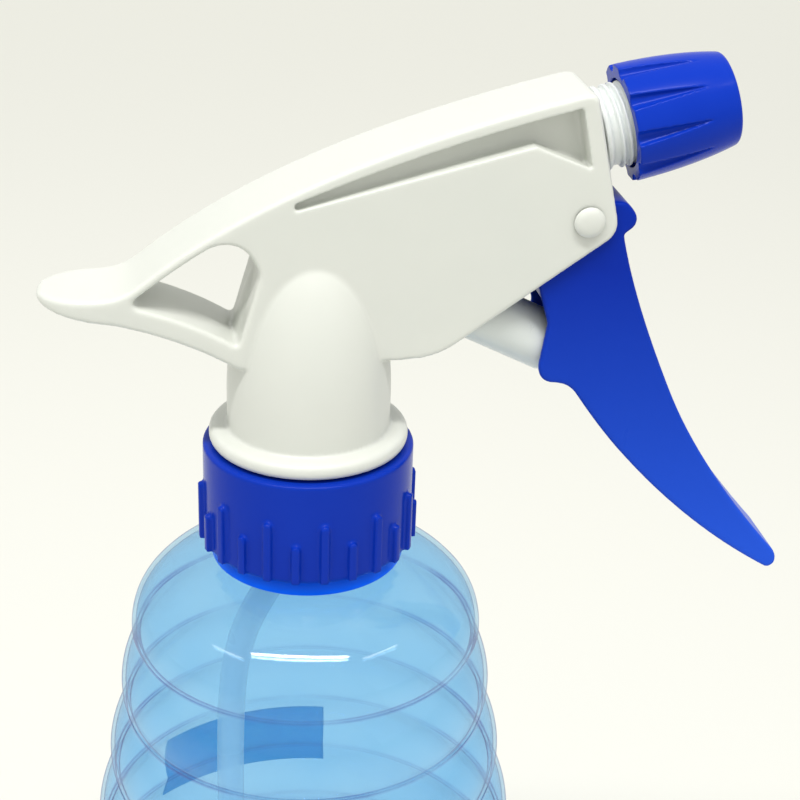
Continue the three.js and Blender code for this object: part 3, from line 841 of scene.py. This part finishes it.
def pivot_pin():
    face = HEAD_WIDTH / 2 + GAP
    half = rounded([
        (PIN_RADIUS, 0), (PIN_RADIUS, face), (PIN_HEAD_RADIUS, face), (PIN_HEAD_RADIUS, face + 0.35),
        (PIN_RADIUS, face + 0.85), (0, face + 1.1),
    ], 0.45)
    other_half = [(radius, -z) for radius, z in reversed(half)]
    pin = turned("pin", other_half[:-1] + half[1:], 64)
    placed(across_pin(pin), "trigger_pin", "pivot_pin", WHITE, HEAD)


# ---------- trigger ----------
def trigger_outline():
    front = curve((44.6, 33.2), (47.0, 23, 54.8, 6.6), (61.2, -6.4, 74.6, -21.2),
                  (76, -23.6, 73.8, -24.3), (59.2, -15.8, 46.6, -1.3), (43.1, 2.8, 39.4, 8.2),
                  (38.2, 9.7, 36.4, 9.9), (33.4, 9.9, 33.5, 12.9), (34.4, 19.4), (32.6, 25.4),
                  (34.8, 35.7))
    eye = arc((38.4, 35.7), 3.6, 180, 45)
    return front + eye[1:] + curve((44.6, 37.9), (48.2, 34.9, 44.6, 33.2))[:-1]


def trigger_channel():
    """What is hollow between the trigger's two side walls, open to the rear."""
    return curve((43.2, 28.5), (45.6, 20, 52.6, 5.4), (59.2, -6.6, 68, -17), (60, -30), (20, 0),
                 (20, 22.4), (36.2, 23.2), (36.2, 28.5))


def push_rib():
    """The round-edged rib across the trigger that pushes the piston in."""
    turn = Matrix.Translation((0, 0, PUSH_RIB_HEIGHT)) @ Matrix.Rotation(math.pi / 2, 4, "X")
    edge = moved(bar(PUSH_RIB_RADIUS, -PUSH_RIB_LENGTH / 2, PUSH_RIB_LENGTH / 2), turn)
    low, high = PUSH_RIB_HEIGHT, PUSH_RIB_HEIGHT + 8
    half = PUSH_RIB_RADIUS
    web = plate([(-half, low), (half, low), (half, high), (-half, high)], PUSH_RIB_LENGTH)
    return in_pump(edge), in_pump(web)


def trigger():
    body = moulded(plate(trigger_outline(), TRIGGER_WIDTH), cell=0.3, smoothing=6)
    cut(body, plate(trigger_channel(), TRIGGER_WIDTH - 2 * TRIGGER_WALL))
    joined(body, *push_rib())
    cut(body, across_pin(bar(PIN_BORE, -TRIGGER_WIDTH, TRIGGER_WIDTH, 48)))
    placed(moulded(body, cell=0.24, smoothing=4), "finger_trigger", "trigger", TRIGGER_BLUE, HEAD)


# ---------- pump ----------
def piston():
    profile = rounded([
        (0, PISTON_END), (2.9, PISTON_END), (2.9, -14), (4.1, -14), (PISTON_RADIUS, -13.6),
        (PISTON_RADIUS, -12.8), (3.4, -12.8), (3.4, -11.4), (PISTON_RADIUS, -11.4),
        (PISTON_RADIUS, 6.9), (3.6, 8), (0, 8),
    ], 0.5)
    placed(turned("piston", profile), "pump_piston", "piston", NATURAL, PUMP)


def coil(name, radius, wire, low, high, turns):
    """A coil of round wire that climbs, but for three quarters of a turn at either end."""
    steps = turns * 28
    flat = 0.75
    path = []
    for k in range(steps + 1):
        share = k / steps
        climb = min(1, max(0, (share * turns - flat) / (turns - 2 * flat)))
        angle = 2 * math.pi * turns * share
        height = low + wire + (high - low - 2 * wire) * climb
        path.append(Vector((radius * math.cos(angle), radius * math.sin(angle), height)))
    return swept(name, path, wire, 0, 12)


def spring(name, node, radius, wire, fixed_end, loose_end, turns, where):
    """A coil between the head and the body, drawn between its fixed and loose ends."""
    low, high = sorted((fixed_end, loose_end))
    wound = dressed(coil(name, radius, wire, low, high, turns), name, node, STEEL, where)
    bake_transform(wound)


# ---------- nozzle ----------
def nozzle_stem():
    body = turned("stem", rounded([
        (1.0, 0), (1.0, -1.5), (1.6, -1.5), (1.6, -4.6), (STEM_PLUG_RADIUS, -4.6),
        (STEM_PLUG_RADIUS, GAP), (STEM_THREAD_RADIUS, GAP), (STEM_THREAD_RADIUS, 1.0),
        (STEM_ROOT, 1.3), (STEM_ROOT, 9.9), (3.2, 9.9), (3.2, 2.4), (1.0, 2.4), (1.0, 0),
    ], 0.2, 3), 96)
    thread = screw_thread(STEM_ROOT - 0.3, STEM_THREAD_RADIUS, 0.8, 0.3, NOZZLE_PITCH, 6.5,
                          STEM_THREAD_START)
    solid = moulded(joined(body, thread), cell=0.115, smoothing=2)
    placed(solid, "threaded_stem", "nozzle_stem", NATURAL, NOZZLE)


def swirl_core():
    core = turned("core", rounded([
        (0, 2.7), (2.9, 2.7), (2.9, 9.4), (2.0, 10), (2.0, 12.6), (1.1, 13.4), (0, 13.4),
    ], 0.3), 64)
    slots = []
    for side in (2.9, -2.9):
        left, right = side - 0.6, side + 0.6
        slots.append(plate([(left, 1.9), (right, 1.9), (right, 10.9), (left, 10.9)], 7))
    placed(cut(core, *slots), "swirl_insert", "swirl_core", NATURAL, NOZZLE)


def flutes(rim):
    """Leaning cones that each cut a groove, deep at the rim, that runs out towards the tip."""
    lean = Matrix.Translation((0, -8.65, rim - 0.1)) @ Matrix.Rotation(FLUTE_LEAN, 4, "X")
    cones = []
    for k in range(NOZZLE_FLUTES):
        cone = turned("flute", [(0, 0), (FLUTE_RADIUS, 0), (0, FLUTE_LENGTH)], 24)
        cones.append(moved(cone, Matrix.Rotation(k * 2 * math.pi / NOZZLE_FLUTES, 4, "Z") @ lean))
    return cones


def nozzle_cap():
    rim, tip = NOZZLE_GAP, NOZZLE_GAP + NOZZLE_LENGTH
    side = curve((8.5, rim), (8.3, rim + 9, 6.85, tip - 0.6), (6.7, tip, 6.0, tip))
    shell = turned("cap", [
        (6.45, rim), *side, (1.6, tip), (0.6, tip - 1.2), (0.6, 16.2), (3.65, 16.2), (3.65, 12.6),
        (6.45, 12.6), (6.45, rim),
    ], 128)
    thread = screw_thread(6.65, 5.8, 0.7, 0.25, NOZZLE_PITCH, 2.5,
                          STEM_THREAD_START + 3.5 * NOZZLE_PITCH)
    cut(shell, *flutes(rim))
    solid = moulded(joined(shell, thread), cell=0.15, smoothing=3)
    placed(solid, "spray_nozzle", "nozzle_cap", BLUE, NOZZLE)


# ---------- studio ----------
def floor():
    half = 8.0
    corners = [(-half, -half, 0), (half, -half, 0), (half, half, 0), (-half, half, 0)]
    sheet = mesh_object("floor", corners, [(0, 1, 2, 3)])
    shader = Shader("floor_paper")
    # Painted light: the floor is painted darker in front and lighter farther back, standing in for how
    # the light falls off.
    away = shader.between(shader.coordinate("Y"), 0, 1, 100, 1300)
    surface = shader.add("BsdfPrincipled", "BSDF", {
        "Base Color": shader.blended(away, (0.765, 0.765, 0.726), (1.0, 1.0, 0.93)),
        "Roughness": 0.8,
        "Specular IOR Level": 0.2,
    })
    sheet.data.materials.append(shader.finished(surface))


def soft_light():
    world = bpy.data.worlds.new("studio")
    bpy.context.scene.world = world
    world.use_nodes = True
    sky = world.node_tree.nodes["Background"]
    sky.inputs["Color"].default_value = (1.0, 1.0, 0.965, 1)
    sky.inputs["Strength"].default_value = 0.8


def strip_light(name, place, length, width, watts, heading):
    """A long warm lamp that hangs level, turned by heading in degrees, and shines at the bottle."""
    lamp = bpy.data.lights.new(name, "AREA")
    lamp.shape = "RECTANGLE"
    lamp.size = length
    lamp.size_y = width
    lamp.energy = watts
    lamp.color = (1.0, 0.99, 0.96)
    holder = bpy.data.objects.new(name, lamp)
    holder.location = place
    aim_height = 0.15
    tilt = math.atan2(math.hypot(place[0], place[1]), place[2] - aim_height)
    holder.rotation_euler = (tilt, 0, math.radians(heading))
    bpy.context.scene.collection.objects.link(holder)


def studio():
    """A pale floor that fills the view, soft light all round, one lamp overhead and two faint ones."""
    bpy.context.scene.view_settings.view_transform = "Standard"
    bpy.context.scene.cycles.transparent_max_bounces = 48
    floor()
    soft_light()
    strip_light("overhead", (-0.07, -0.26, 0.82), 0.62, 0.045, 4.8, -10)
    strip_light("left", (-0.55, -0.16, 0.74), 0.3, 0.04, 0.3, -60)
    strip_light("right", (0.45, -0.26, 0.74), 0.3, 0.04, 0.3, 45)


def camera():
    """Looks down at the head from its side, close by and a little from behind."""
    heading, down, roll = -10, 25.39, 2.14
    lens = bpy.data.cameras.new("camera")
    lens.lens = 74
    lens.sensor_width = 36
    viewer = bpy.data.objects.new("camera", lens)
    turn = (Matrix.Rotation(math.radians(heading), 4, "Z")
            @ Matrix.Rotation(math.radians(90 - down), 4, "X")
            @ Matrix.Rotation(math.radians(roll), 4, "Z"))
    viewer.matrix_world = Matrix.Translation((-0.0251, -0.2207, seat * MM + 0.1118)) @ turn
    bpy.context.scene.collection.objects.link(viewer)
    bpy.context.scene.camera = viewer


# ---------- assembly ----------
camera()
studio()
bottle()
sticker()
collar()
gasket()
tube_holder()
dip_tube()
sealing_ring("column_seal", "holder_ring", 5.98, 0.38, 8.55, HEAD)
ball("inlet_valve_ball", "inlet_ball", INLET_BALL_RADIUS, INLET_SEAT + INLET_FLARE,
     INLET_SEAT_RADIUS, HEAD)
spray_head()
pivot_pin()
trigger()
piston()
sealing_ring("piston_seal", "piston_ring", 4.05, 0.55, -12.1, PUMP)
spring("return_spring", "piston_spring", PISTON_SPRING_RADIUS, PISTON_SPRING_WIRE,
       PUMP_END + GAP, PISTON_END - GAP, 6, PUMP)
ball("outlet_valve_ball", "outlet_ball", OUTLET_BALL_RADIUS, OUTLET_SEAT, FEED_BORE, NOZZLE)
spring("valve_spring", "outlet_spring", OUTLET_SPRING_RADIUS, OUTLET_SPRING_WIRE,
       OUTLET_SPRING_END, OUTLET_SEAT + 2 * OUTLET_BALL_RADIUS + GAP / 2, 5, NOZZLE)
nozzle_stem()
swirl_core()
sealing_ring("nozzle_gasket", "nozzle_seal", 2.9, 0.45, 14.6, NOZZLE)
nozzle_cap()
